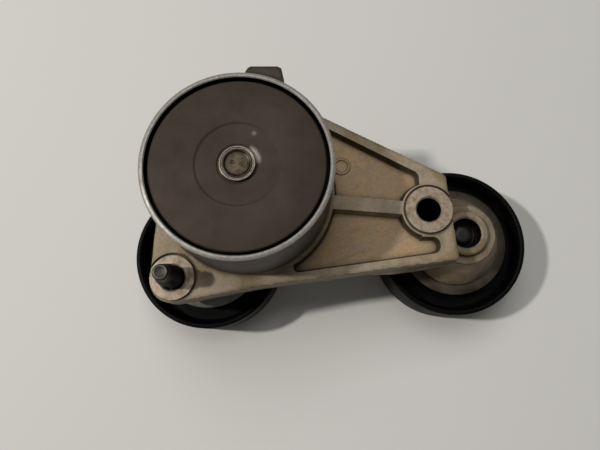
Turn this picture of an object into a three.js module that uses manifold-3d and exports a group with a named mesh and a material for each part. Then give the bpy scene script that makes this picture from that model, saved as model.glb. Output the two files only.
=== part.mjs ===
// Twin-pulley belt tensioner: a cast bracket with a spring cup, a sprung swing arm with one pulley,
// and a second, fixed-centre idler pulley. Millimetres, +Z up, pulleys at the bottom.
// Every piece is drawn in the design frame, whose Z axis is the arm's pivot and whose Z = 0 is the
// bench that the dust caps stand on. The exported group moves that frame so that its origin is the
// middle of the whole object's base.

import * as THREE from "three";
import { mergeVertices } from "three/addons/utils/BufferGeometryUtils.js";
import Module from "manifold-3d";

const wasm = await Module();
wasm.setup();

// ---------------------------------------------------------------- driving dimensions

const PULLEY = { radius: 38, bottom: 6.7, top: 31.7, rim: 2.6, webBottom: 16.5, webTop: 22 };
const BEARING = { bore: 8.5, outer: 20, bottom: 13.2, top: 25.2, balls: 8, ball: 3.2 };
const AXES = {
  tensioner: [-23.1, -23.6],
  idler: [104.1, -17],
  leftBoss: [-32.7, -39.8],
  rightBoss: [83.5, -8.6],
};

const RIM_TOP = 107.6; // mouth of the spring cup
const BOSS_TOP = 67.6; // machined faces that bolt to the engine
const FLANGE = { top: 67.1, bottom: 51.6, leftBossBottom: 54, pocketFloor: 62.9 };
const POCKET_KEEP = { cup: 40.2, boss: 12.5 }; // radii that the flange's pockets stay clear of
const CUP = {
  rim: 38, base: 38.5, mouth: 36.1, bore: 35.2,
  bottom: 45.2, webTop: 102.7, webBottom: 98.5,
};
const HUB = { outer: 14, bore: 11.2, bottom: 52.2 };
const LUG = { rootHalf: 8.2, tipHalf: 6.8, middle: 9.8, reach: 42.3, top: 105.1 };
const NECK_BOTTOM = 36.5;
const BOSS = { right: 10.75, left: 10, rightHole: 5.6, leftHole: 5.6, chamfer: 0.6 };
const PAD = {
  top: 52, hubTop: 55, hub: 10.7, base: 33,
  counterbore: 7.3, counterboreFloor: 49.4, thread: 5.3,
};

const ARM = { disc: 37, bottom: 34, top: 43.6, lug: 11.4, lugTop: 40.5, spigotEnd: 27 };
const ARM_RING = { outer: 33.8, inner: 29.5, top: 47.5 };
const STOP = { angle: 30, halfWidth: 5, clearance: 0.6, inner: 30, top: 50 };
const ARM_TRAVEL = 65; // degrees, clockwise seen from +Z
const SHAFT = { radius: 8, head: 12, headTop: 37, neck: 6, rivet: 7.3, crown: 5 };
const PLATE = { radius: 34.8, bottom: 104.9, top: 106.6, step: 16.6, dish: 9.5, dishTop: 105.7 };

const SPRING = { radius: 24.5, wire: 5, turns: 4.6, low: 50.5, high: 94.5, stepsPerTurn: 15 };

const SHIELD = { radius: 27.6, gauge: 1.2, cup: 12.8, step: 21.5, rearDepth: 5.2, frontDepth: 2.2 };
const PULLEY_BOLT = { shank: 5, flange: 10.4, flangeTop: 11.4, flangeGauge: 2.2, acrossFlats: 15, base: 2.5 };
const PULLEY_BOLT_TIP = { tensioner: 41.6, idler: 50.4 };
const CAP = { radius: 19, wall: 1.6, top: 9.1, floor: 1.6 };
const MOUNT_BOLT = { thread: 5, pilot: 3.5, flange: 9.6, acrossFlats: 13, headBottom: 41, tip: 87.6 };
const BOLT_WASHER = { radius: 9.8, bore: 5.35, bottom: 48.6, top: 50.1 };

const GAP = 0.3; // clearance kept between pieces that touch on the real object
const FINE = 48; // facets round the large visible pieces
const COARSE = 24; // facets round small and hidden pieces
const BALL_FACETS = [8, 6]; // round and from pole to pole

// ---------------------------------------------------------------- materials

function finish(color, roughness, metalness) {
  return () => new THREE.MeshStandardMaterial({ color, roughness, metalness });
}

const MATERIALS = {
  castAluminium: finish(0x8f8474, 0.62, 0.6),
  darkSteel: finish(0x453e37, 0.42, 0.7),
  blackSteel: finish(0x1d1c1c, 0.5, 0.6),
  brightSteel: finish(0x9a9892, 0.35, 0.9),
  stampedSteel: finish(0x85827b, 0.45, 0.8),
  springSteel: finish(0x3c3b3b, 0.45, 0.8),
  blackNylon: finish(0x151516, 0.55, 0),
  paleNylon: finish(0xb9b29c, 0.6, 0),
  sealRubber: finish(0x241f1c, 0.8, 0),
};

// ---------------------------------------------------------------- shape tools

// A closed three.js geometry as a manifold solid: shared corners merged, empty triangles dropped.
function solid(geometry) {
  const bare = geometry.clone();
  bare.deleteAttribute("normal");
  bare.deleteAttribute("uv");
  const merged = mergeVertices(bare, 1e-4);
  const corners = Array.from(merged.index.array);
  const kept = [];
  for (let i = 0; i < corners.length; i += 3) {
    const [a, b, c] = corners.slice(i, i + 3);
    if (a !== b && b !== c && c !== a) kept.push(a, b, c);
  }
  const vertProperties = new Float32Array(merged.attributes.position.array);
  const mesh = new wasm.Mesh({ numProp: 3, vertProperties, triVerts: new Uint32Array(kept) });
  return new wasm.Manifold(mesh);
}

function geometryOf(made) {
  const mesh = made.getMesh();
  const geometry = new THREE.BufferGeometry();
  geometry.setAttribute("position", new THREE.BufferAttribute(new Float32Array(mesh.vertProperties), 3));
  geometry.setIndex(new THREE.BufferAttribute(new Uint32Array(mesh.triVerts), 1));
  geometry.computeVertexNormals();
  return geometry;
}

// A solid of revolution about Z through (x, y). The profile is a list of [radius, z] corners of a
// closed outline, in either direction.
function turned(profile, [x, y] = [0, 0], facets = COARSE) {
  let area = 0;
  profile.forEach(([r, z], i) => {
    const [r2, z2] = profile[(i + 1) % profile.length];
    area += r * z2 - r2 * z;
  });
  const outline = area > 0 ? [...profile] : [...profile].reverse();
  outline.push(outline[0]);
  const lathe = new THREE.LatheGeometry(outline.map(([r, z]) => new THREE.Vector2(r, z)), facets);
  lathe.rotateX(Math.PI / 2);
  lathe.translate(x, y, 0);
  return solid(lathe);
}

function disc(radius, z0, z1, centre, facets = COARSE) {
  return turned([[0, z0], [radius, z0], [radius, z1], [0, z1]], centre, facets);
}

function ring(inner, outer, z0, z1, centre, facets = COARSE) {
  return turned([[inner, z0], [outer, z0], [outer, z1], [inner, z1]], centre, facets);
}

function plate(shape, z0, z1, curveSegments = 6) {
  const geometry = new THREE.ExtrudeGeometry(shape, { depth: z1 - z0, bevelEnabled: false, curveSegments });
  geometry.translate(0, 0, z0);
  return solid(geometry);
}

// An outline from its corners [x, y, radius], anticlockwise, each corner rounded to its radius.
function rounded(corners) {
  const shape = new THREE.Shape();
  corners.forEach(([x, y, radius = 0], i) => {
    const corner = new THREE.Vector2(x, y);
    const before = new THREE.Vector2(...corners.at(i - 1).slice(0, 2)).sub(corner).normalize();
    const after = new THREE.Vector2(...corners[(i + 1) % corners.length].slice(0, 2)).sub(corner).normalize();
    const half = Math.acos(before.dot(after)) / 2;
    const start = corner.clone().addScaledVector(before, radius / Math.tan(half));
    if (i === 0) shape.moveTo(start.x, start.y);
    else shape.lineTo(start.x, start.y);
    if (!radius) return;
    const bisector = before.clone().add(after).normalize();
    const centre = corner.clone().addScaledVector(bisector, radius / Math.sin(half));
    const end = corner.clone().addScaledVector(after, radius / Math.tan(half));
    const from = start.sub(centre).angle();
    const to = end.sub(centre).angle();
    shape.absarc(centre.x, centre.y, radius, from, to, before.cross(after) > 0);
  });
  shape.closePath();
  return shape;
}

// A ring sector about the pivot, between two angles in degrees.
function sector(inner, outer, from, to, z0, z1) {
  const shape = new THREE.Shape();
  const [a, b] = [THREE.MathUtils.degToRad(from), THREE.MathUtils.degToRad(to)];
  shape.absarc(0, 0, outer, a, b, false);
  shape.absarc(0, 0, inner, b, a, true);
  return plate(shape, z0, z1, 10);
}

function hexagon(acrossFlats, z0, z1, [x, y]) {
  const prism = new THREE.CylinderGeometry(acrossFlats / Math.sqrt(3), acrossFlats / Math.sqrt(3), z1 - z0, 6);
  prism.rotateX(Math.PI / 2);
  prism.translate(x, y, (z0 + z1) / 2);
  return solid(prism);
}

// The arc of a ball groove in a bearing race, as profile corners; side is +1 on the outer race.
function groove(pitch, middle, radius, side, depth) {
  const halfHeight = Math.sqrt(radius ** 2 - depth ** 2);
  const reach = Math.asin(halfHeight / radius);
  return [-1, -0.5, 0, 0.5, 1].map((t) => [
    pitch + side * radius * Math.cos(t * reach),
    middle + radius * Math.sin(t * reach),
  ]);
}

// ---------------------------------------------------------------- bracket casting

function flangeOutline() {
  return rounded([
    [-43.5, -53.3, 10.8],
    [5.5, -43.8, 30],
    [96.3, -31.6, 1.2],
    [92.4, 8.2, 2.4],
    [34, 37.9, 12],
    [20, 41.6, 4],
    [4, 34, 0],
    [-30, 20, 0],
    [-40.8, 5, 3],
  ]);
}

function upperPocket() {
  return rounded([
    [30, -0.8, 0],
    [76, -4.9, 0],
    [79.6, 0, 0],
    [79.6, 8.9, 3.5],
    [30, 35.2, 0],
  ]);
}

function lowerPocket() {
  return rounded([
    [20.8, -37.9, 2.5],
    [88.2, -28.5, 3.6],
    [87.6, -21.2, 3.4],
    [80, -21.2, 0],
    [76, -11.1, 0],
    [30, -7.4, 0],
    [21.8, -30, 0],
  ]);
}

// The casting round the idler's bolt: a coned pad with a counterbored hub on top.
function idlerPad() {
  const pad = turned(
    [[0, PAD.base], [23, PAD.base], [21.5, 36.5], [16.4, 48], [14.6, PAD.top], [PAD.hub, PAD.top],
      [PAD.hub, PAD.hubTop], [0, PAD.hubTop]],
    AXES.idler,
    FINE,
  );
  const spigot = disc(ARM.lug, ARM.spigotEnd, PAD.base + 1, AXES.idler);
  return pad.add(spigot);
}

// The deepened right end of the flange, which ramps down to the height of the idler pad.
function neck() {
  const plan = plate(rounded([[50, -37.9, 0], [96.3, -31.6, 1.2], [93.1, 1, 3], [60, 2, 4]]), 30, 60);
  const side = new THREE.Shape();
  side.moveTo(50, 58);
  side.lineTo(50, FLANGE.bottom + 0.6);
  side.lineTo(56, FLANGE.bottom);
  side.lineTo(80, NECK_BOTTOM);
  side.lineTo(100, NECK_BOTTOM);
  side.lineTo(100, 58);
  side.closePath();
  const wedge = new THREE.ExtrudeGeometry(side, { depth: 60, bevelEnabled: false });
  wedge.rotateX(Math.PI / 2);
  wedge.translate(0, 15, 0);
  return plan.intersect(solid(wedge));
}

function cupCavity() {
  const spring = ring(HUB.outer, CUP.bore, CUP.bottom - 20, CUP.webBottom, [0, 0], FINE);
  const below = disc(CUP.bore, CUP.bottom - 20, HUB.bottom, [0, 0], FINE);
  const bushing = disc(HUB.bore, CUP.bottom - 20, RIM_TOP + 1);
  const mouth = disc(CUP.mouth, CUP.webTop, RIM_TOP + 1, [0, 0], FINE);
  return spring.add(below).add(bushing).add(mouth);
}

function bossHole(radius, centre) {
  const wide = radius + BOSS.chamfer;
  return turned(
    [[0, 20], [radius, 20], [radius, BOSS_TOP - BOSS.chamfer], [wide, BOSS_TOP], [wide, BOSS_TOP + 1],
      [0, BOSS_TOP + 1]],
    centre,
  );
}

function bracketCasting() {
  const cup = turned(
    [[0, CUP.bottom], [CUP.base, CUP.bottom], [CUP.base, FLANGE.top], [CUP.rim, RIM_TOP - 0.6],
      [CUP.rim - 0.6, RIM_TOP], [0, RIM_TOP]],
    [0, 0],
    FINE,
  );
  const lug = plate(
    rounded([
      [LUG.middle - LUG.rootHalf, 30, 0],
      [LUG.middle + LUG.rootHalf, 30, 0],
      [LUG.middle + LUG.rootHalf, 35.5, 0],
      [LUG.middle + LUG.tipHalf, LUG.reach, 1.6],
      [LUG.middle - LUG.tipHalf, LUG.reach, 1.6],
      [LUG.middle - LUG.rootHalf, 39, 0],
    ]),
    FLANGE.bottom,
    LUG.top,
    4,
  );
  let casting = plate(flangeOutline(), FLANGE.bottom, FLANGE.top).add(cup).add(lug).add(neck()).add(idlerPad());

  const sinkTop = FLANGE.top + 5;
  const pocketKeep = disc(POCKET_KEEP.cup, FLANGE.pocketFloor - 5, sinkTop + 1, [0, 0], FINE);
  const rightKeep = disc(POCKET_KEEP.boss, FLANGE.pocketFloor - 5, sinkTop + 1, AXES.rightBoss);
  for (const outline of [upperPocket(), lowerPocket()]) {
    const cutter = plate(outline, FLANGE.pocketFloor, sinkTop).subtract(pocketKeep).subtract(rightKeep);
    casting = casting.subtract(cutter);
  }
  casting = casting.add(disc(BOSS.right, FLANGE.top - 2, BOSS_TOP, AXES.rightBoss));
  casting = casting.add(disc(BOSS.left, FLANGE.top - 2, BOSS_TOP, AXES.leftBoss));
  casting = casting.subtract(bossHole(BOSS.rightHole, AXES.rightBoss));
  casting = casting.subtract(bossHole(BOSS.leftHole, AXES.leftBoss));
  casting = casting.subtract(disc(12, 40, FLANGE.leftBossBottom, AXES.leftBoss));
  casting = casting.subtract(disc(PAD.counterbore, PAD.counterboreFloor, PAD.hubTop + 1, AXES.idler));
  casting = casting.subtract(disc(PAD.thread, 20, PAD.counterboreFloor + 1, AXES.idler));
  casting = casting.subtract(cupCavity());
  const stop = sector(STOP.inner, CUP.bore + 1, STOP.angle - STOP.halfWidth, STOP.angle + STOP.halfWidth,
    CUP.bottom, STOP.top);
  return casting.add(stop);
}

// ---------------------------------------------------------------- inside the cup

function torsionSpring() {
  const { radius, wire, turns, low, high, stepsPerTurn } = SPRING;
  const points = [];
  const steps = stepsPerTurn * turns;
  for (let i = 0; i <= steps; i++) {
    const share = i / steps;
    const angle = share * turns * 2 * Math.PI;
    const height = THREE.MathUtils.lerp(low, high, share);
    points.push(new THREE.Vector3(radius * Math.cos(angle), radius * Math.sin(angle), height));
  }
  const section = new THREE.Shape();
  const half = wire / 2;
  section.moveTo(-half, -half);
  section.lineTo(half, -half);
  section.lineTo(half, half);
  section.lineTo(-half, half);
  section.closePath();
  const extrudePath = new THREE.CatmullRomCurve3(points);
  return solid(new THREE.ExtrudeGeometry(section, { steps, extrudePath, bevelEnabled: false }));
}

function thrustPlate() {
  const outer = [[PLATE.radius, PLATE.bottom], [PLATE.radius, PLATE.top - 0.4], [PLATE.radius - 0.4, PLATE.top]];
  const face = [[PLATE.step + 0.5, PLATE.top], [PLATE.step, PLATE.top - 0.4], [PLATE.dish + 0.7, PLATE.top - 0.4]];
  const dish = [[PLATE.dish, PLATE.dishTop], [SHAFT.neck + GAP, PLATE.dishTop], [SHAFT.neck + GAP, PLATE.bottom]];
  return turned([...outer, ...face, ...dish], [0, 0], FINE);
}

function pivotShaft() {
  const neckTop = PLATE.dishTop + GAP;
  return turned([
    [0, ARM.bottom + GAP],
    [SHAFT.head, ARM.bottom + GAP],
    [SHAFT.head, SHAFT.headTop],
    [SHAFT.radius, SHAFT.headTop],
    [SHAFT.radius, PLATE.bottom - GAP],
    [SHAFT.neck, PLATE.bottom - GAP],
    [SHAFT.neck, neckTop],
    [SHAFT.rivet, neckTop],
    [SHAFT.rivet, PLATE.top - 0.2],
    [SHAFT.crown + 0.9, PLATE.top + 0.2],
    [SHAFT.crown, PLATE.top + 0.6],
    [0, PLATE.top + 0.6],
  ]);
}

// ---------------------------------------------------------------- swing arm

function armCasting() {
  const body = turned(
    [[0, ARM.bottom], [ARM.disc, ARM.bottom], [ARM.disc, ARM.top], [ARM_RING.outer, ARM.top],
      [ARM_RING.outer, ARM_RING.top], [ARM_RING.inner, ARM_RING.top], [ARM_RING.inner, ARM.top],
      [HUB.outer, ARM.top], [HUB.outer - 1, HUB.bottom - GAP], [0, HUB.bottom - GAP]],
    [0, 0],
    FINE,
  );
  const lug = disc(ARM.lug, PAD.base, ARM.lugTop, AXES.tensioner);
  const spigot = disc(ARM.lug, ARM.spigotEnd, ARM.lugTop, AXES.tensioner);
  const boltHole = disc(PAD.thread, 20, 42.5, AXES.tensioner);
  const shaftHole = disc(SHAFT.radius + GAP, 20, 60);
  const headSeat = disc(SHAFT.head + GAP, 20, SHAFT.headTop + GAP);
  const slack = STOP.halfWidth + STOP.clearance;
  const notch = sector(ARM_RING.inner - 1, ARM_RING.outer + 1, STOP.angle - slack,
    STOP.angle + ARM_TRAVEL + slack, ARM.top, ARM_RING.top + 1);
  return body.add(lug).add(spigot).subtract(boltHole).subtract(shaftHole).subtract(headSeat).subtract(notch);
}

// ---------------------------------------------------------------- pulley and bearing

function pulleyShell(centre) {
  const { radius, bottom, top, rim, webBottom, webTop } = PULLEY;
  const inner = radius - rim;
  const hub = BEARING.outer + GAP;
  const [hubBottom, hubTop] = [BEARING.bottom - 1, BEARING.top + 1];
  return turned(
    [[hub, hubBottom], [23.6, hubBottom], [24.4, webBottom], [inner - 1, webBottom], [inner, bottom + 0.8],
      [inner + 0.6, bottom], [radius - 0.8, bottom], [radius, bottom + 0.8], [radius, top - 0.8],
      [radius - 0.8, top], [inner + 0.6, top], [inner, top - 0.8], [inner - 1, webTop], [24.4, webTop],
      [23.6, hubTop], [hub, hubTop]],
    centre,
    FINE,
  );
}

function bearingPieces(centre) {
  const { bore, outer, bottom, top, ball } = BEARING;
  const middle = (bottom + top) / 2;
  const pitch = (bore + outer) / 2;
  const channel = ball + GAP;
  const innerEdge = 2.6;
  const innerRace = turned(
    [[bore, bottom], [pitch - innerEdge, bottom], ...groove(pitch, middle, channel, -1, innerEdge),
      [pitch - innerEdge, top], [bore, top]],
    centre,
  );
  const outerRace = turned(
    [[outer, bottom], [pitch + innerEdge, bottom], ...groove(pitch, middle, channel, 1, innerEdge),
      [pitch + innerEdge, top], [outer, top]],
    centre,
  );
  const balls = [];
  let cage = ring(pitch - 0.9, pitch + 0.9, middle - 4.2, middle + 4.2, centre, 16);
  for (let i = 0; i < BEARING.balls; i++) {
    const angle = (i / BEARING.balls) * 2 * Math.PI;
    const place = [centre[0] + pitch * Math.cos(angle), centre[1] + pitch * Math.sin(angle), middle];
    const sphere = (radius) => solid(new THREE.SphereGeometry(radius, ...BALL_FACETS).translate(...place));
    balls.push(sphere(ball));
    cage = cage.subtract(sphere(channel + 0.1));
  }
  const seal = (z0) => ring(pitch - innerEdge + GAP, pitch + innerEdge - GAP, z0, z0 + 0.8, centre);
  return { innerRace, outerRace, cage, balls, frontSeal: seal(bottom + 0.3), rearSeal: seal(top - 1.1) };
}

// A pressed-steel dust shield: a flat ring with one shallow step, and a cup at the middle whose
// floor is clamped against the bearing's inner race. side is +1 above the bearing, -1 below it.
function dustShield(centre, side, depth) {
  const { radius, gauge, cup, step } = SHIELD;
  const seat = side > 0 ? BEARING.top + GAP : BEARING.bottom - GAP;
  const at = (r, height) => [r, seat + side * height];
  return turned(
    [at(PULLEY_BOLT.shank + GAP, 0), at(cup, 0), at(cup, depth - 0.5), at(step, depth - 0.5),
      at(step + 0.8, depth), at(radius, depth), at(radius, depth + gauge), at(step, depth + gauge),
      at(step - 0.8, depth + gauge - 0.5), at(cup - gauge, depth + gauge - 0.5), at(cup - gauge, gauge),
      at(PULLEY_BOLT.shank + GAP, gauge)],
    centre,
    COARSE + 8,
  );
}

function pulleyBolt(centre, tip) {
  const { shank, flange, flangeTop, flangeGauge, acrossFlats, base } = PULLEY_BOLT;
  const stem = turned(
    [[0, base + 1], [flange - 2.5, base + 1], [flange, flangeTop - flangeGauge], [flange, flangeTop],
      [shank, flangeTop], [shank, tip - 1.3], [shank - 1.3, tip], [0, tip]],
    centre,
  );
  return stem.add(hexagon(acrossFlats, base, flangeTop - 1, centre));
}

function dustCap(centre) {
  const { radius, wall, top, floor } = CAP;
  return turned(
    [[0, 0], [radius - 2, 0], [radius, 2], [radius, top], [radius - wall, top], [radius - wall, floor], [0, floor]],
    centre,
  );
}

// ---------------------------------------------------------------- mounting bolt

function mountingBolt() {
  const { thread, pilot, flange, acrossFlats, headBottom, tip } = MOUNT_BOLT;
  const centre = AXES.leftBoss;
  const flangeTop = BOLT_WASHER.bottom - GAP;
  const stem = turned(
    [[0, headBottom + 1], [6, headBottom + 1], [flange, flangeTop - 1.8], [flange, flangeTop], [thread, flangeTop],
      [thread, tip - 8.5], [pilot, tip - 7], [pilot, tip - 0.8], [pilot - 0.8, tip], [0, tip]],
    centre,
  );
  return stem.add(hexagon(acrossFlats, headBottom, flangeTop - 1, centre));
}

// ---------------------------------------------------------------- assembly

const tensioner = new THREE.Group();

function place(name, made, material) {
  const mesh = new THREE.Mesh(geometryOf(made), material());
  mesh.name = name;
  tensioner.add(mesh);
}

function placePulleySet(side) {
  const centre = AXES[side];
  const bearing = bearingPieces(centre);
  place(`${side}_pulley`, pulleyShell(centre), MATERIALS.blackNylon);
  place(`${side}_bearing_outer_race`, bearing.outerRace, MATERIALS.brightSteel);
  place(`${side}_bearing_inner_race`, bearing.innerRace, MATERIALS.brightSteel);
  place(`${side}_bearing_cage`, bearing.cage, MATERIALS.paleNylon);
  bearing.balls.forEach((ball, i) => place(`${side}_bearing_ball_${i + 1}`, ball, MATERIALS.brightSteel));
  place(`${side}_bearing_front_seal`, bearing.frontSeal, MATERIALS.sealRubber);
  place(`${side}_bearing_rear_seal`, bearing.rearSeal, MATERIALS.sealRubber);
  const sleeve = ring(PULLEY_BOLT.shank + GAP, BEARING.bore - GAP, BEARING.bottom, BEARING.top, centre);
  place(`${side}_bore_sleeve`, sleeve, MATERIALS.brightSteel);
  place(`${side}_rear_shield`, dustShield(centre, 1, SHIELD.rearDepth), MATERIALS.stampedSteel);
  place(`${side}_front_shield`, dustShield(centre, -1, SHIELD.frontDepth), MATERIALS.stampedSteel);
  place(`${side}_pulley_bolt`, pulleyBolt(centre, PULLEY_BOLT_TIP[side]), MATERIALS.blackSteel);
  place(`${side}_dust_cap`, dustCap(centre), MATERIALS.blackNylon);
}

place("bracket_casting", bracketCasting(), MATERIALS.castAluminium);
place("pivot_bushing", ring(SHAFT.radius + 0.2, HUB.bore - GAP, HUB.bottom, CUP.webTop), MATERIALS.paleNylon);
place("torsion_spring", torsionSpring(), MATERIALS.springSteel);
place("friction_washer", ring(HUB.outer + 1, 33.5, CUP.webTop + GAP, PLATE.bottom - GAP, [0, 0], FINE),
  MATERIALS.paleNylon);
place("damping_ring", ring(ARM_RING.outer + GAP, 37.6, ARM.top + GAP, CUP.bottom - GAP, [0, 0], FINE),
  MATERIALS.blackNylon);
place("arm_casting", armCasting(), MATERIALS.castAluminium);
place("pivot_shaft", pivotShaft(), MATERIALS.brightSteel);
place("thrust_plate", thrustPlate(), MATERIALS.darkSteel);
place("bolt_washer", ring(BOLT_WASHER.bore, BOLT_WASHER.radius, BOLT_WASHER.bottom, BOLT_WASHER.top, AXES.leftBoss),
  MATERIALS.brightSteel);
place("mounting_bolt", mountingBolt(), MATERIALS.blackSteel);
placePulleySet("tensioner");
placePulleySet("idler");

const middleX = (AXES.tensioner[0] + AXES.idler[0]) / 2;
const middleY = (AXES.tensioner[1] - PULLEY.radius + LUG.reach) / 2;
tensioner.position.set(-middleX, -middleY, 0);

const model = new THREE.Group();
model.add(tensioner);

export default model;
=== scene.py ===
"""A belt tensioner with a sprung swing arm and a fixed idler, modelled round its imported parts.

Lengths are in millimetres until MM turns them to metres. Heights are above the bench, and plan
positions are from the arm's pivot unless an axis is named.
"""

import math

import bmesh
import bpy
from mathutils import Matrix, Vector


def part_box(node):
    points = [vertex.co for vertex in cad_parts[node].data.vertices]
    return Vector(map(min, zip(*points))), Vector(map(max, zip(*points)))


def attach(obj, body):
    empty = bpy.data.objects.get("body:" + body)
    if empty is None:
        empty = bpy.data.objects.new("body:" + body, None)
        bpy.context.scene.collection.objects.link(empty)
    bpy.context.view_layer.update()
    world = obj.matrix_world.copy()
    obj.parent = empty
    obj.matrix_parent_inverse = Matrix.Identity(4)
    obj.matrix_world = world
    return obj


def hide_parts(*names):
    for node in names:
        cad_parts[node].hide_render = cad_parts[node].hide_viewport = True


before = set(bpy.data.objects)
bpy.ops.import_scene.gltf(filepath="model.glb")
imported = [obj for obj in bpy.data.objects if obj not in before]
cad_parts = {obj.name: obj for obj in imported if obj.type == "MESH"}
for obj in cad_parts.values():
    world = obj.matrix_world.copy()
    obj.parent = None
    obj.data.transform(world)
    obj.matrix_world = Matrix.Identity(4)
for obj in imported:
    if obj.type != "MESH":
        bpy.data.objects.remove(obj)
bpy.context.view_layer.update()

bl_info = {
    "name": "Belt Tensioner",
    "version": (1, 0, 0),
    "blender": (4, 5, 0),
    "location": "View3D > Sidebar > Tensioner",
    "description": "Models a twin-pulley belt tensioner round its packed parts",
    "category": "Object",
}

MM = 0.001


def middle(node):
    """The plan position, in metres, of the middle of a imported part."""
    low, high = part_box(node)
    return ((low.x + high.x) / 2, (low.y + high.y) / 2)


PIVOT = middle("thrust_plate")
TENSIONER = middle("tensioner_pulley")
IDLER = middle("idler_pulley")
LEFT_BOSS = middle("mounting_bolt")
RIGHT_BOSS = (PIVOT[0] + 83.5 * MM, PIVOT[1] - 8.6 * MM)
SIDES = {"tensioner": TENSIONER, "idler": IDLER}
CARRIERS = {"tensioner": "swing_arm", "idler": "bracket"}  # the body that holds each pulley
BEARING_BALLS = 8
MATERIALS = {}  # filled by the finishes step

# Heights that more than one piece shares.
RIM_TOP = 107.6
BOSS_TOP = 67.6
FLANGE_TOP, FLANGE_BOTTOM, POCKET_FLOOR = 67.1, 51.6, 62.9
PULLEY_BOTTOM, PULLEY_TOP = 6.7, 31.7
PULLEY_BOLT_TIPS = {"tensioner": 41.6, "idler": 50.4}
STUD_FLANGE, STUD_TIP = 48.3, 87.6
CUP_BOTTOM = 45.2
BEARING_BOTTOM, BEARING_TOP = 13.2, 25.2
PLATE_TOP, PLATE_BOTTOM = 106.6, 104.9


def linear(hex_colour):
    """An sRGB hex value as linear red, green, blue and alpha."""
    parts = [int(hex_colour[i : i + 2], 16) / 255 for i in (1, 3, 5)]
    return [p / 12.92 if p <= 0.04045 else ((p + 0.055) / 1.055) ** 2.4 for p in parts] + [1.0]


# ---------------------------------------------------------------- settings


class TensionerFinish(bpy.types.PropertyGroup):
    """Colours of the visible finishes."""

    casting: bpy.props.FloatVectorProperty(
        name="Casting", description="Clean skin of the aluminium castings", subtype="COLOR", size=4,
        min=0, max=1, default=linear("#A69682"))
    machined: bpy.props.FloatVectorProperty(
        name="Machined faces", description="Spot faces, rim and bores", subtype="COLOR", size=4,
        min=0, max=1, default=linear("#A39380"))
    plate: bpy.props.FloatVectorProperty(
        name="Thrust plate", description="Blackened sheet over the spring cup", subtype="COLOR",
        size=4, min=0, max=1, default=linear("#3B3127"))
    pulley: bpy.props.FloatVectorProperty(
        name="Pulleys", description="Moulded pulley rims and webs", subtype="COLOR", size=4,
        min=0, max=1, default=linear("#030303"))


class TensionerSizes(bpy.types.PropertyGroup):
    """How finely the pieces are made."""

    grain: bpy.props.FloatProperty(
        name="Casting grain", description="Grid that rounds the castings' edges and corners",
        default=0.85 * MM, min=0.6 * MM, max=3 * MM, precision=5, unit="LENGTH")
    facets: bpy.props.IntProperty(
        name="Facets", description="Sides round each large turned piece", default=128, min=24,
        max=256)
    floor: bpy.props.FloatProperty(
        name="Floor", description="Width of the studio floor", default=3.0, min=0.5, max=20,
        unit="LENGTH")


# ---------------------------------------------------------------- modelling by hand


def only(piece):
    """Leaves one object selected and active."""
    bpy.ops.object.select_all(action="DESELECT")
    piece.select_set(True)
    bpy.context.view_layer.objects.active = piece


def finish_edit():
    """Turns the faces of the mesh being edited outwards and applies the object's place."""
    bpy.ops.mesh.select_all(action="SELECT")
    bpy.ops.mesh.normals_make_consistent(inside=False)
    bpy.ops.object.mode_set(mode="OBJECT")
    bpy.ops.object.transform_apply(location=True, rotation=True, scale=True)


def turn(name, axis, profile, sides=None, hoop=False):
    """Draws a piece ring by ring about an upright axis from its [radius, height] corners.

    A hoop's outline closes on itself and leaves a hole down the axis. Otherwise both ends are
    capped.
    """
    sides = sides or bpy.context.scene.tensioner_sizes.facets
    bpy.ops.object.select_all(action="DESELECT")
    radius, height = profile[0]
    bpy.ops.mesh.primitive_circle_add(
        vertices=sides, radius=radius * MM, location=(axis[0], axis[1], height * MM))
    piece = bpy.context.object
    piece.name = piece.data.name = name
    bpy.ops.object.mode_set(mode="EDIT")
    bpy.ops.mesh.select_mode(type="VERT")
    bpy.ops.mesh.select_all(action="SELECT")
    for wide, high in profile[1:] + (profile[:1] if hoop else []):
        bpy.ops.mesh.extrude_region_move(
            TRANSFORM_OT_translate={"value": (0, 0, (high - height) * MM)})
        share = wide / radius
        bpy.ops.transform.resize(
            value=(share, share, 1), center_override=(axis[0], axis[1], high * MM))
        radius, height = wide, high
    bpy.ops.mesh.select_all(action="SELECT")
    if hoop:
        bpy.ops.mesh.remove_doubles(threshold=0.01 * MM)
    else:
        bpy.ops.mesh.fill_holes(sides=0)
    finish_edit()
    return piece


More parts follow.
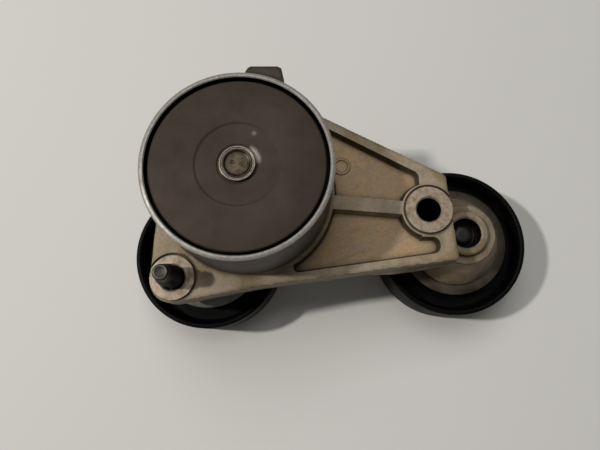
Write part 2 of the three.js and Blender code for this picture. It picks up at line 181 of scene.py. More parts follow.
def prism(name, corners, low, high):
    """Draws a plate from its plan corners [x, y, radius], anticlockwise, and raises it."""
    bpy.ops.object.select_all(action="DESELECT")
    bpy.ops.mesh.primitive_circle_add(
        vertices=len(corners), radius=50 * MM, fill_type="NGON",
        location=(PIVOT[0], PIVOT[1], low * MM))
    piece = bpy.context.object
    piece.name = piece.data.name = name
    bpy.ops.object.mode_set(mode="EDIT")
    bpy.ops.mesh.select_mode(type="VERT")
    places = [Vector((x * MM, y * MM, 0)) for x, y, _ in corners]
    for i, place in enumerate(places):
        mesh = bmesh.from_edit_mesh(piece.data)
        mesh.verts.ensure_lookup_table()
        for vertex in mesh.verts:
            vertex.select_set(vertex.index == i)
        move = place - mesh.verts[i].co
        bmesh.update_edit_mesh(piece.data)
        bpy.ops.transform.translate(value=move)
    for i, place in enumerate(places):
        radius = corners[i][2]
        if not radius:
            continue
        before = (places[i - 1] - place).normalized()
        after = (places[(i + 1) % len(places)] - place).normalized()
        half = before.angle(after) / 2
        mesh = bmesh.from_edit_mesh(piece.data)
        for vertex in mesh.verts:
            vertex.select_set((vertex.co - place).length < 0.001 * MM)
        bmesh.update_edit_mesh(piece.data)
        bpy.ops.mesh.bevel(
            offset=radius * MM / math.tan(half), affect="VERTICES", segments=8, profile=0.5,
            clamp_overlap=False)
    bpy.ops.mesh.select_all(action="SELECT")
    bpy.ops.mesh.extrude_region_move(
        TRANSFORM_OT_translate={"value": (0, 0, (high - low) * MM)})
    finish_edit()
    return piece


def apply_modifier(piece, kind, **settings):
    """Adds a modifier to a piece with these settings and applies it."""
    only(piece)
    modifier = piece.modifiers.new(kind.title(), kind)
    for name, value in settings.items():
        setattr(modifier, name, value)
    bpy.ops.object.modifier_apply(modifier=modifier.name)


def combine(piece, other, operation, solver="EXACT"):
    """Unites, cuts or intersects a piece with another, which is used up."""
    apply_modifier(piece, "BOOLEAN", object=other, operation=operation, solver=solver)
    bpy.data.objects.remove(other)


def soften(piece, width, segments=2, angle=32):
    """Breaks a piece's sharp edges by a width, and shades the rest smooth."""
    apply_modifier(
        piece, "BEVEL", width=width * MM, segments=segments, limit_method="ANGLE",
        angle_limit=math.radians(angle), use_clamp_overlap=True)
    smooth(piece)


def smooth(piece, angle=32):
    only(piece)
    bpy.ops.object.shade_smooth_by_angle(angle=math.radians(angle))


def cast(piece, grain, passes):
    """Gives a sharp blank the rounded edges and filled corners of a casting."""
    apply_modifier(piece, "REMESH", mode="VOXEL", voxel_size=grain, use_smooth_shade=True)
    apply_modifier(piece, "SMOOTH", factor=0.5, iterations=passes)


def thread(piece, axis, low, high, pitch, depth):
    """Winds a helical thread round the rings of a stem between two heights."""
    for vertex in piece.data.vertices:
        x, y, z = vertex.co.x - axis[0], vertex.co.y - axis[1], vertex.co.z / MM
        if low < z < high and math.hypot(x, y) > 1 * MM:
            lead = min(1, (z - low) / pitch, (high - z) / pitch)
            turn_share = (z / pitch - math.atan2(y, x) / (2 * math.pi)) % 1
            root = depth * MM * lead * min(1, 1.25 * abs(2 * turn_share - 1))
            share = 1 - root / math.hypot(x, y)
            vertex.co.x = axis[0] + x * share
            vertex.co.y = axis[1] + y * share
    piece.data.update()


def hexagon(name, axis, across_flats, low, high):
    """A six-sided bolt head with turned-down corners."""
    corner = across_flats / math.sqrt(3)
    profile = [[corner * 0.86, low], [corner, low + 0.75], [corner, high]]
    return turn(name, axis, profile, sides=6)


def paint(piece, materials, choose):
    """Gives a piece its materials, and each face the one whose number choose returns.

    Choose is given the face's middle in millimetres from the pivot, and its normal.
    """
    piece.data.materials.clear()
    for material in materials:
        piece.data.materials.append(material)
    for face in piece.data.polygons:
        x, y, z = (face.center - Vector((PIVOT[0], PIVOT[1], 0))) / MM
        face.material_index = choose(x, y, z, face.normal)


def coat(piece, material):
    """Gives a piece one material all over."""
    piece.data.materials.clear()
    piece.data.materials.append(MATERIALS[material])


def settle(piece, body, slot, *nodes):
    """Rides a finished piece on its body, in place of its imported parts."""
    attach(piece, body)
    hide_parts(*nodes)


def radius_from(axis, x, y):
    """Distance in millimetres from an axis to a plan position given from the pivot."""
    return math.hypot(x - (axis[0] - PIVOT[0]) / MM, y - (axis[1] - PIVOT[1]) / MM)


def twin(piece, name):
    """Copies a piece of the tensioner's set to the idler's axis, with a mesh of its own."""
    only(piece)
    bpy.ops.object.duplicate(linked=False)
    copied = bpy.context.object
    copied.name = copied.data.name = name
    bpy.ops.transform.translate(value=(IDLER[0] - TENSIONER[0], IDLER[1] - TENSIONER[1], 0))
    bpy.ops.object.transform_apply(location=True, rotation=True, scale=True)
    return copied


# ---------------------------------------------------------------- materials


def node(tree, kind, sockets=None, **settings):
    """Adds a shader node, sets its properties, and sets or links its sockets."""
    made = tree.nodes.new(kind)
    for name, value in settings.items():
        setattr(made, name, value)
    for name, value in (sockets or {}).items():
        if isinstance(value, bpy.types.NodeSocket):
            tree.links.new(value, made.inputs[name])
        else:
            made.inputs[name].default_value = value
    return made


def begin(name, shader_values):
    """A new material: itself, its node tree, its shader and its object coordinates."""
    material = bpy.data.materials.new(name)
    material.use_nodes = True
    tree = material.node_tree
    shader = tree.nodes["Principled BSDF"]
    for socket, value in shader_values.items():
        shader.inputs[socket].default_value = value
    return material, tree, shader, node(tree, "ShaderNodeTexCoord").outputs["Object"]


def per_mm(size):
    """The scale at which a pattern's features are this many millimetres wide."""
    return 1 / (size * MM)


def cast_aluminium(name, shade_share):
    """Permanent-mould cast aluminium with a service stain.

    The mould coat leaves a matt granular skin, and oil and coolant leave brown and olive clouds.
    The last argument is how much of the light is kept on faces given painted shade, such as a
    pocket's walls. Inside corners and low faces are given painted shade as well.
    """
    material, tree, shader, coords = begin(name, {"Metallic": 0.22, "Specular IOR Level": 0.3})
    finish = bpy.context.scene.tensioner_finish
    cloud = node(tree, "ShaderNodeTexNoise", {
        "Vector": coords, "Scale": per_mm(17), "Detail": 4.0, "Roughness": 0.62, "Distortion": 0.7})
    olive = node(tree, "ShaderNodeTexNoise", {
        "Vector": coords, "Scale": per_mm(9), "Detail": 5.0, "Roughness": 0.7, "Distortion": 0.4})
    # Real mould grain is near 0.2 mm, too fine to show, so the grit is drawn about 0.8 mm wide.
    grit = node(tree, "ShaderNodeTexNoise", {
        "Vector": coords, "Scale": per_mm(0.8), "Detail": 3.0, "Roughness": 0.6})
    speck = node(tree, "ShaderNodeTexVoronoi",
        {"Vector": coords, "Scale": per_mm(2.6), "Randomness": 1.0})
    stain_share = node(tree, "ShaderNodeMapRange", {
        "Value": cloud.outputs["Fac"], "From Min": 0.42, "From Max": 0.62, "To Min": 0.0,
        "To Max": 0.85})
    olive_share = node(tree, "ShaderNodeMapRange", {
        "Value": olive.outputs["Fac"], "From Min": 0.47, "From Max": 0.68, "To Min": 0.0,
        "To Max": 0.5})
    grit_share = node(tree, "ShaderNodeMapRange", {
        "Value": grit.outputs["Fac"], "From Min": 0.3, "From Max": 0.72, "To Min": 0.84,
        "To Max": 1.1})
    speck_share = node(tree, "ShaderNodeMapRange", {
        "Value": speck.outputs["Distance"], "From Min": 0.06, "From Max": 0.16, "To Min": 0.72,
        "To Max": 1.0})
    brown = node(tree, "ShaderNodeMix", {
        0: stain_share.outputs[0], 6: finish.casting, 7: linear("#857452")}, data_type="RGBA")
    green = node(tree, "ShaderNodeMix", {
        0: olive_share.outputs[0], 6: brown.outputs[2], 7: linear("#78735A")}, data_type="RGBA")
    shade = node(tree, "ShaderNodeMath", {
        0: grit_share.outputs[0], 1: speck_share.outputs[0]}, operation="MULTIPLY")
    colour = node(tree, "ShaderNodeVectorMath", {
        0: green.outputs[2], "Scale": shade.outputs[0]}, operation="SCALE")
    # The cup and its lug stand clear of the rest; above the flange's top they are drawn much
    # darker, to about a sixth.
    height = node(tree, "ShaderNodeSeparateXYZ", {"Vector": coords})
    film = node(tree, "ShaderNodeMapRange", {
        "Value": height.outputs["Z"], "From Min": 67.6 * MM, "From Max": 69.5 * MM,
        "To Min": shade_share, "To Max": 0.16 * shade_share})
    # Painted shade: low faces, below the flange's top, are drawn up to a fifth darker.
    low_shade = node(tree, "ShaderNodeMapRange", {
        "Value": height.outputs["Z"], "From Min": 55.3 * MM, "From Max": 58 * MM,
        "To Min": 0.8, "To Max": 1.0})
    # Painted shade in inside corners, from an occlusion test: round the pockets, the bosses and the
    # foot of the cup.
    occlusion = node(tree, "ShaderNodeAmbientOcclusion", {"Distance": 3.5 * MM}, samples=8,
        only_local=True)
    corner_shade = node(tree, "ShaderNodeMapRange", {
        "Value": occlusion.outputs["AO"], "From Min": 0.42, "From Max": 0.92, "To Min": 0.2,
        "To Max": 1.0})
    painted_shade = node(tree, "ShaderNodeMath", {0: low_shade.outputs[0], 1: corner_shade.outputs[0]},
        operation="MULTIPLY")
    kept = node(tree, "ShaderNodeMath", {0: film.outputs[0], 1: painted_shade.outputs[0]},
        operation="MULTIPLY")
    filmed = node(tree, "ShaderNodeVectorMath", {
        0: colour.outputs[0], "Scale": kept.outputs[0]}, operation="SCALE")
    # Oil that dried on the pocket floors left them yellower, in ragged tide marks.
    tide = node(tree, "ShaderNodeTexNoise", {
        "Vector": coords, "Scale": per_mm(6), "Detail": 7.0, "Roughness": 0.75, "Distortion": 1.2})
    sunk = node(tree, "ShaderNodeMapRange", {
        "Value": height.outputs["Z"], "From Min": 63.1 * MM, "From Max": 64.4 * MM,
        "To Min": 1.0, "To Max": 0.0})
    above = node(tree, "ShaderNodeMath", {
        0: height.outputs["Z"], 1: 62.6 * MM}, operation="GREATER_THAN")
    marks = node(tree, "ShaderNodeMapRange", {
        "Value": tide.outputs["Fac"], "From Min": 0.4, "From Max": 0.6, "To Min": 0.25,
        "To Max": 0.85})
    pooled = node(tree, "ShaderNodeMath", {0: sunk.outputs[0], 1: above.outputs[0]},
        operation="MULTIPLY")
    stained = node(tree, "ShaderNodeMath", {0: pooled.outputs[0], 1: marks.outputs[0]},
        operation="MULTIPLY")
    # It ran in streaks, slantwise across the pockets.
    slant = node(tree, "ShaderNodeMapping", {
        "Vector": coords, "Rotation": (0, 0, math.radians(25)), "Scale": (6, 1, 1)},
        vector_type="TEXTURE")
    runs = node(tree, "ShaderNodeTexNoise", {
        "Vector": slant.outputs[0], "Scale": per_mm(3.6), "Detail": 5.0, "Roughness": 0.65})
    run_share = node(tree, "ShaderNodeMapRange", {
        "Value": runs.outputs["Fac"], "From Min": 0.55, "From Max": 0.72, "To Min": 1.0,
        "To Max": 0.55})
    streaked = node(tree, "ShaderNodeMath", {0: shade.outputs[0], 1: run_share.outputs[0]},
        operation="MULTIPLY")
    # The oil's colour is darkened by the painted corner shade as well.
    oil_share = node(tree, "ShaderNodeMath", {
        0: streaked.outputs[0], 1: corner_shade.outputs[0]}, operation="MULTIPLY")
    oil = node(tree, "ShaderNodeVectorMath", {
        0: linear("#AE8F66")[:3], "Scale": oil_share.outputs[0]}, operation="SCALE")
    oiled = node(tree, "ShaderNodeMix", {
        0: stained.outputs[0], 6: filmed.outputs[0], 7: oil.outputs[0]}, data_type="RGBA")
    tree.links.new(oiled.outputs[2], shader.inputs["Base Color"])
    gloss = node(tree, "ShaderNodeMapRange", {
        "Value": cloud.outputs["Fac"], "From Min": 0.35, "From Max": 0.7, "To Min": 0.62,
        "To Max": 0.46})
    tree.links.new(gloss.outputs[0], shader.inputs["Roughness"])
    skin = node(tree, "ShaderNodeTexNoise", {
        "Vector": coords, "Scale": per_mm(1.7), "Detail": 4.0, "Roughness": 0.65})
    lump = node(tree, "ShaderNodeBump", {
        "Height": skin.outputs["Fac"], "Strength": 0.55, "Distance": 0.35 * MM})
    grain = node(tree, "ShaderNodeBump", {
        "Height": grit.outputs["Fac"], "Strength": 0.6, "Distance": 0.16 * MM,
        "Normal": lump.outputs[0]})
    tree.links.new(grain.outputs[0], shader.inputs["Normal"])
    return material


def machined_aluminium(name, clean, stain):
    """Aluminium skimmed by a milling cutter and then weathered.

    It is lighter than the cast skin and sparkles with torn grain, and near bolts it is stained.
    """
    material, tree, shader, coords = begin(name, {"Metallic": 0.45})
    # Torn grain is finer than this in life, and is drawn near 1 mm wide so that it shows.
    flake = node(tree, "ShaderNodeTexVoronoi",
        {"Vector": coords, "Scale": per_mm(0.95), "Randomness": 1.0})
    wear = node(tree, "ShaderNodeTexNoise", {
        "Vector": coords, "Scale": per_mm(4.5), "Detail": 6.0, "Roughness": 0.72})
    sparkle = node(tree, "ShaderNodeMapRange", {
        "Value": flake.outputs["Color"], "From Min": 0.1, "From Max": 0.95, "To Min": 0.82,
        "To Max": 1.1})
    rust = node(tree, "ShaderNodeMapRange", {
        "Value": wear.outputs["Fac"], "From Min": 0.47, "From Max": 0.66, "To Min": 0.0,
        "To Max": stain})
    stained = node(tree, "ShaderNodeMix", {
        0: rust.outputs[0], 6: clean, 7: linear("#6E5537")}, data_type="RGBA")
    colour = node(tree, "ShaderNodeVectorMath", {
        0: stained.outputs[2], "Scale": sparkle.outputs[0]}, operation="SCALE")
    tree.links.new(colour.outputs[0], shader.inputs["Base Color"])
    gloss = node(tree, "ShaderNodeMapRange", {
        "Value": wear.outputs["Fac"], "From Min": 0.3, "From Max": 0.7, "To Min": 0.38,
        "To Max": 0.6})
    tree.links.new(gloss.outputs[0], shader.inputs["Roughness"])
    torn = node(tree, "ShaderNodeBump", {
        "Height": flake.outputs["Color"], "Strength": 0.35, "Distance": 0.1 * MM})
    rough = node(tree, "ShaderNodeBump", {
        "Height": wear.outputs["Fac"], "Strength": 0.3, "Distance": 0.12 * MM,
        "Normal": torn.outputs[0]})
    tree.links.new(rough.outputs[0], shader.inputs["Normal"])
    return material


def blackened_plate():
    """Phosphated, oiled steel sheet: satin brown-black with faint clouds, rubbed by the rivet."""
    material, tree, shader, coords = begin("Phosphated_steel_plate",
        {"Metallic": 0.15, "Specular IOR Level": 0.3})
    finish = bpy.context.scene.tensioner_finish
    centred = node(tree, "ShaderNodeMapping", {
        "Vector": coords, "Location": (-PIVOT[0], -PIVOT[1], 0)})
    cloud = node(tree, "ShaderNodeTexNoise", {
        "Vector": centred.outputs[0], "Scale": per_mm(14), "Detail": 6.0, "Roughness": 0.6})
    # Phosphate crystals are microscopic, so they are drawn near 1 mm wide.
    fine = node(tree, "ShaderNodeTexNoise", {
        "Vector": centred.outputs[0], "Scale": per_mm(1.1), "Detail": 3.0, "Roughness": 0.7})
    tone = node(tree, "ShaderNodeMapRange", {
        "Value": cloud.outputs["Fac"], "From Min": 0.3, "From Max": 0.7, "To Min": 0.84,
        "To Max": 1.14})
    colour = node(tree, "ShaderNodeVectorMath", {
        0: finish.plate[:3], "Scale": tone.outputs[0]}, operation="SCALE")
    # Two bright rubs: a crescent that hugs the rivet, and a small nick further out.
    plan = node(tree, "ShaderNodeMapping", {"Vector": centred.outputs[0], "Scale": (1, 1, 0)})
    from_rivet = node(tree, "ShaderNodeVectorMath", {0: plan.outputs[0]}, operation="LENGTH")
    from_crescent = node(tree, "ShaderNodeVectorMath", {
        0: plan.outputs[0], 1: (7.9 * MM, 4.4 * MM, 0)}, operation="DISTANCE")
    from_nick = node(tree, "ShaderNodeVectorMath", {
        0: plan.outputs[0], 1: (6.2 * MM, 12.6 * MM, 0)}, operation="DISTANCE")
    hug = node(tree, "ShaderNodeMapRange", {
        "Value": from_rivet.outputs["Value"], "From Min": 8.6 * MM, "From Max": 9.9 * MM,
        "To Min": 0.9, "To Max": 0.0})
    span = node(tree, "ShaderNodeMapRange", {
        "Value": from_crescent.outputs["Value"], "From Min": 2.2 * MM, "From Max": 4.6 * MM,
        "To Min": 1.0, "To Max": 0.0})
    crescent = node(tree, "ShaderNodeMath", {0: hug.outputs[0], 1: span.outputs[0]},
        operation="MULTIPLY")
    nick = node(tree, "ShaderNodeMapRange", {
        "Value": from_nick.outputs["Value"], "From Min": 0.3 * MM, "From Max": 1.3 * MM,
        "To Min": 0.45, "To Max": 0.0})
    worn = node(tree, "ShaderNodeMath", {0: crescent.outputs[0], 1: nick.outputs[0]},
        operation="MAXIMUM")
    broken = node(tree, "ShaderNodeMapRange", {
        "Value": fine.outputs["Fac"], "From Min": 0.3, "From Max": 0.6, "To Min": 0.45,
        "To Max": 1.0})
    patch = node(tree, "ShaderNodeMath", {0: worn.outputs[0], 1: broken.outputs[0]},
        operation="MULTIPLY")
    rubbed = node(tree, "ShaderNodeMix", {
        0: patch.outputs[0], 6: colour.outputs[0], 7: linear("#A79F92")}, data_type="RGBA")
    tree.links.new(rubbed.outputs[2], shader.inputs["Base Color"])
    gloss = node(tree, "ShaderNodeMapRange", {
        "Value": cloud.outputs["Fac"], "From Min": 0.3, "From Max": 0.7, "To Min": 0.72,
        "To Max": 0.6})
    tree.links.new(gloss.outputs[0], shader.inputs["Roughness"])
    bump = node(tree, "ShaderNodeBump", {
        "Height": fine.outputs["Fac"], "Strength": 0.12, "Distance": 0.05 * MM})
    tree.links.new(bump.outputs[0], shader.inputs["Normal"])
    return material


def steel(name, dark, light, rough_low, rough_high, size, metallic=0.85, bump=0.1):
    """Steel that varies between two tones in clouds of a size, with matching gloss.

    It serves turned, pressed, phosphated, hardened and zinc-plated steel, whose tones and gloss
    differ.
    """
    material, tree, shader, coords = begin(name, {"Metallic": metallic})
    cloud = node(tree, "ShaderNodeTexNoise", {
        "Vector": coords, "Scale": per_mm(size), "Detail": 6.0, "Roughness": 0.68,
        "Distortion": 0.3})
    # Turning and rolling marks are finer than this in life, and are drawn 0.7 mm wide.
    fine = node(tree, "ShaderNodeTexNoise", {
        "Vector": coords, "Scale": per_mm(0.7), "Detail": 3.0, "Roughness": 0.6})
    share = node(tree, "ShaderNodeMapRange", {
        "Value": cloud.outputs["Fac"], "From Min": 0.34, "From Max": 0.66, "To Min": 0.0,
        "To Max": 1.0})
    colour = node(tree, "ShaderNodeMix", {
        0: share.outputs[0], 6: linear(dark), 7: linear(light)}, data_type="RGBA")
    tree.links.new(colour.outputs[2], shader.inputs["Base Color"])
    gloss = node(tree, "ShaderNodeMapRange", {
        "Value": cloud.outputs["Fac"], "From Min": 0.3, "From Max": 0.7,
        "To Min": rough_low, "To Max": rough_high})
    tree.links.new(gloss.outputs[0], shader.inputs["Roughness"])
    grain = node(tree, "ShaderNodeBump", {
        "Height": fine.outputs["Fac"], "Strength": bump, "Distance": 0.06 * MM})
    tree.links.new(grain.outputs[0], shader.inputs["Normal"])
    return material


def moulded(name, colour, dust, roughness):
    """Moulded plastic or rubber: fine mould texture under a film of road and belt dust."""
    material, tree, shader, coords = begin(name,
        {"Metallic": 0.0, "IOR": 1.52, "Specular IOR Level": 0.08})
    film = node(tree, "ShaderNodeTexNoise", {
        "Vector": coords, "Scale": per_mm(7), "Detail": 6.0, "Roughness": 0.7, "Distortion": 0.5})
    # Mould texture is near 0.1 mm in life, and is drawn 0.6 mm wide so that it shows.
    texture = node(tree, "ShaderNodeTexNoise", {
        "Vector": coords, "Scale": per_mm(0.6), "Detail": 2.0, "Roughness": 0.5})
    share = node(tree, "ShaderNodeMapRange", {
        "Value": film.outputs["Fac"], "From Min": 0.46, "From Max": 0.78, "To Min": 0.0,
        "To Max": 0.55})
    mixed = node(tree, "ShaderNodeMix", {
        0: share.outputs[0], 6: colour, 7: linear(dust)}, data_type="RGBA")
    tree.links.new(mixed.outputs[2], shader.inputs["Base Color"])
    gloss = node(tree, "ShaderNodeMapRange", {
        "Value": film.outputs["Fac"], "From Min": 0.35, "From Max": 0.75,
        "To Min": roughness, "To Max": roughness + 0.2})
    tree.links.new(gloss.outputs[0], shader.inputs["Roughness"])
    grain = node(tree, "ShaderNodeBump", {
        "Height": texture.outputs["Fac"], "Strength": 0.18, "Distance": 0.05 * MM})
    tree.links.new(grain.outputs[0], shader.inputs["Normal"])
    return material


def pale_floor():
    """Painted board: a pale warm grey with a barely visible roller texture."""
    material, tree, shader, coords = begin("Painted_board_floor", {"Roughness": 0.75})
    drift = node(tree, "ShaderNodeTexNoise", {"Vector": coords, "Scale": 2.2, "Detail": 2.0})
    mixed = node(tree, "ShaderNodeMix", {
        0: drift.outputs["Fac"], 6: linear("#D9D8D4"), 7: linear("#DDDCD8")}, data_type="RGBA")
    tree.links.new(mixed.outputs[2], shader.inputs["Base Color"])
    return material


class TENSIONER_OT_finishes(bpy.types.Operator):
    """Make the materials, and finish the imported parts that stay"""

    bl_idname = "tensioner.finishes"
    bl_label = "Finishes"

    def execute(self, context):
        finish = context.scene.tensioner_finish
        MATERIALS.update(
            # Walls and flanks are the cast skin with painted shade, keeping 0.24 and 0.48 of the
            # light.
            cast=cast_aluminium("Cast_aluminium_stained_and_shaded", 1.0),
            walls=cast_aluminium("Cast_aluminium_shaded_walls", 0.24),
            flanks=cast_aluminium("Cast_aluminium_grimed", 0.48),
            machined=machined_aluminium("Machined_aluminium_stained", finish.machined, 0.75),
            rim=machined_aluminium("Machined_aluminium_rim", linear("#A09C95"), 0.3),
            plate=blackened_plate(),
            rivet=steel("Worn_rivet_steel", "#1E1912", "#4A4133", 0.28, 0.42, 2.2, bump=0.15),
            rivet_edge=steel("Rolled_rivet_edge", "#57524A", "#7B756B", 0.3, 0.44, 3),
            zinc=steel("Zinc_plated_steel", "#6E706A", "#8F918B", 0.38, 0.52, 9),
            # Darker and browner than the zinc, as painted shade on the idler's shields.
            shield=steel("Pressed_steel_shield_shaded", "#4A4238", "#665D51", 0.42, 0.58, 11),
            bolt=steel("Phosphated_bolt_steel", "#1C1B1B", "#3A3733", 0.35, 0.55, 3.5, 0.7, 0.25),
            bright=steel("Bright_turned_steel", "#8A867F", "#B3AFA8", 0.25, 0.42, 5),
            bearing=steel("Ground_bearing_steel", "#A3A29E", "#C2C1BD", 0.14, 0.24, 6, 1.0, 0.03),
            spring=steel("Oil_tempered_spring_steel", "#2B2926", "#4A453F", 0.35, 0.5, 4),
            nylon=moulded("Glass_filled_nylon", finish.pulley, "#0C0B0A", 0.46),
            cap=moulded("Moulded_polypropylene", linear("#181818"), "#2C2A27", 0.38),
            pale=moulded("Acetal_bearing_plastic", linear("#B9AE93"), "#8F8468", 0.45),
            # Near black, as painted shade inside the bores and the cup's gaps.
            grime=moulded("Bore_black_painted_shade", linear("#050404"), "#0E0B09", 0.55),
            seal=moulded("Nitrile_rubber_seal", linear("#1E1B19"), "#2E2926", 0.6),
        )
        kept = {
            "torsion_spring": "spring",
            "pivot_bushing": "pale",
            "friction_washer": "pale",
        }
        for side in SIDES:
            for number in range(1, BEARING_BALLS + 1):
                kept[f"{side}_bearing_ball_{number}"] = "bearing"
            kept[f"{side}_bearing_outer_race"] = "bearing"
            kept[f"{side}_bearing_inner_race"] = "bearing"
            kept[f"{side}_bearing_cage"] = "pale"
            kept[f"{side}_bearing_front_seal"] = "seal"
            kept[f"{side}_bearing_rear_seal"] = "seal"
            kept[f"{side}_bore_sleeve"] = "bright"
        for name, material in kept.items():
            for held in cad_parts[name].material_slots:
                held.material = MATERIALS[material]
        return {"FINISHED"}


# ---------------------------------------------------------------- bracket

FLANGE = [
    [-43.5, -53.3, 10.8], [5.5, -43.8, 30], [96.3, -31.6, 1.2], [92.4, 8.2, 2.4], [34, 37.9, 12],
    [20, 41.6, 4], [4, 34, 0], [-30, 20, 0], [-40.8, 5, 3],
]
LUG = [[1.6, 30, 0], [18, 30, 0], [18, 35.5, 0], [16.6, 42.3, 1.6], [3, 42.3, 1.6], [1.6, 39, 0]]
NECK = [[50, -37.9, 0], [96.3, -31.6, 1.2], [93.1, 1, 3], [60, 2, 4]]
UPPER_POCKET = [[30, -0.8, 0], [76, -4.9, 0], [79.6, 0, 0], [79.6, 8.9, 3.5], [30, 35.2, 0]]
LOWER_POCKET = [
    [20.8, -37.9, 2.5], [88.2, -28.5, 3.6], [87.6, -21.2, 3.4], [80, -21.2, 0], [76, -11.1, 0],
    [30, -7.4, 0], [21.8, -30, 0],
]

POCKET_LEAN = 1.2  # how much narrower a pocket is at its floor, along each wall
MARK = (PIVOT[0] + 44 * MM, PIVOT[1] + 13.6 * MM)
BOSS_HOLE = 5.6  # radius of both mounting holes


def bracket_blank():
    """The bracket as cast, with its edges still sharp: flange, spring cup, lug, neck and pad."""
    blank = prism("bracket_body", FLANGE, FLANGE_BOTTOM, FLANGE_TOP)
    cup = turn("cup", PIVOT, [[38.4, CUP_BOTTOM], [38.5, FLANGE_TOP], [38.1, RIM_TOP + 1.5]])
    lug = prism("lug", LUG, FLANGE_BOTTOM, 105.1)
    neck = prism("neck", NECK, 36.5, 58)
    only(neck)
    bpy.ops.object.mode_set(mode="EDIT")
    bpy.ops.mesh.select_all(action="SELECT")
    # The underside of the neck ramps down from the flange to the height of the idler's pad.
    bpy.ops.mesh.bisect(
        plane_co=(PIVOT[0] + 56 * MM, PIVOT[1], FLANGE_BOTTOM * MM), plane_no=(15.1, 0, 24),
        use_fill=True, clear_inner=True)
    finish_edit()
    pad = turn("pad", IDLER, [
        [11.4, 27], [11.4, 33], [23, 33], [21.5, 36.5], [18.6, 42.6], [16.4, 48], [15.2, 51],
        [14.6, 52.6],
        [11.8, 52.8], [11.8, 56.5]])
    left = turn("left", LEFT_BOSS, [[10.4, FLANGE_TOP - 4], [10.4, BOSS_TOP + 0.7]])
    right = turn("right", RIGHT_BOSS, [[11.1, FLANGE_TOP - 4], [11.1, BOSS_TOP + 0.7]])
    for other in (cup, lug, neck, pad, left, right):
        combine(blank, other, "UNION")
    return blank


def sink_pockets(body):
    """Sinks the two pockets, whose walls lean outwards and whose floors are filleted.

    They keep clear of the cup and of the right boss, whose walls lean the same way.
    """
    depth = FLANGE_TOP - POCKET_FLOOR
    for outline in (UPPER_POCKET, LOWER_POCKET):
        pocket = prism("pocket", outline, FLANGE_TOP, FLANGE_TOP + 5)
        only(pocket)
        bpy.ops.object.mode_set(mode="EDIT")
        bpy.ops.mesh.select_mode(type="FACE")
        mesh = bmesh.from_edit_mesh(pocket.data)
        for face in mesh.faces:
            face.select_set(face.normal.z < -0.9)
        bmesh.update_edit_mesh(pocket.data)
        bpy.ops.mesh.inset(thickness=POCKET_LEAN * MM, depth=depth * MM)
        finish_edit()
        for axis, radius in ((PIVOT, 40.2), (RIGHT_BOSS, 12.5)):
            foot = radius + POCKET_LEAN
            keep = turn("keep", axis, [
                [foot, POCKET_FLOOR - 4], [foot, POCKET_FLOOR], [radius, FLANGE_TOP],
                [radius, FLANGE_TOP + 8]])
            combine(pocket, keep, "DIFFERENCE")
        soften(pocket, 0.9, segments=4, angle=50)
        combine(body, pocket, "DIFFERENCE", solver="MANIFOLD")
    # A plain raised ring stands in the upper pocket, as a foundry's mark would.
    floor = POCKET_FLOOR
    mark = turn("mark", MARK, [
        [2.7, floor - 1], [2.9, floor + 0.3], [3.2, floor + 0.5], [3.9, floor + 0.5],
        [4.3, floor + 0.3],
        [4.5, floor - 1]], sides=64, hoop=True)
    combine(body, mark, "UNION", solver="MANIFOLD")


def machine_bracket(body):
    """Cuts the faces that a mill or lathe makes: rim, bores, spot faces and the idler's hub."""
    cutters = [
        # Rim skim with its outer chamfer.
        (PIVOT, [[37.35, RIM_TOP], [38.8, RIM_TOP - 1.1], [46, RIM_TOP - 1.1], [46, RIM_TOP + 8],
                 [20, RIM_TOP + 8], [20, RIM_TOP]], True),
        # Spring space, bushing bore and the mouth that takes the thrust plate, in one outline.
        (PIVOT, [[35.2, 30], [35.2, 98.5], [14, 98.5], [14, 52.2], [11.2, 52.2], [11.2, 102.7],
        [36.1, 102.7],
                 [36.1, RIM_TOP - 0.4], [36.6, RIM_TOP + 0.1], [36.6, RIM_TOP + 9]], False),
        (LEFT_BOSS, [[12, 30], [12, 54], [BOSS_HOLE, 54], [BOSS_HOLE, BOSS_TOP - 0.7],
        [6.3, BOSS_TOP], [10, BOSS_TOP],
                     [10.1, BOSS_TOP - 1.4], [11, BOSS_TOP - 1.4], [11.1, BOSS_TOP], [13, BOSS_TOP],
                     [13, BOSS_TOP + 5]], False),
        (RIGHT_BOSS, [[BOSS_HOLE, 30], [BOSS_HOLE, BOSS_TOP - 0.7], [6.3, BOSS_TOP],
        [10.75, BOSS_TOP],
                      [10.85, BOSS_TOP - 1.4], [11.7, BOSS_TOP - 1.4], [11.8, BOSS_TOP],
                      [14, BOSS_TOP],
                      [14, BOSS_TOP + 5]], False),
        (IDLER, [[5.3, 20], [5.3, 49.4], [7.3, 49.4], [7.3, 54.2], [8.1, 55], [9.9, 55],
        [10.7, 54.2],
                 [10.7, 52], [14.4, 52], [14.8, 52.5], [14.8, 62]], False),
    ]
    for axis, profile, hoop in cutters:
        cutter = turn("cutter", axis, profile, hoop=hoop)
        combine(body, cutter, "DIFFERENCE", solver="MANIFOLD")


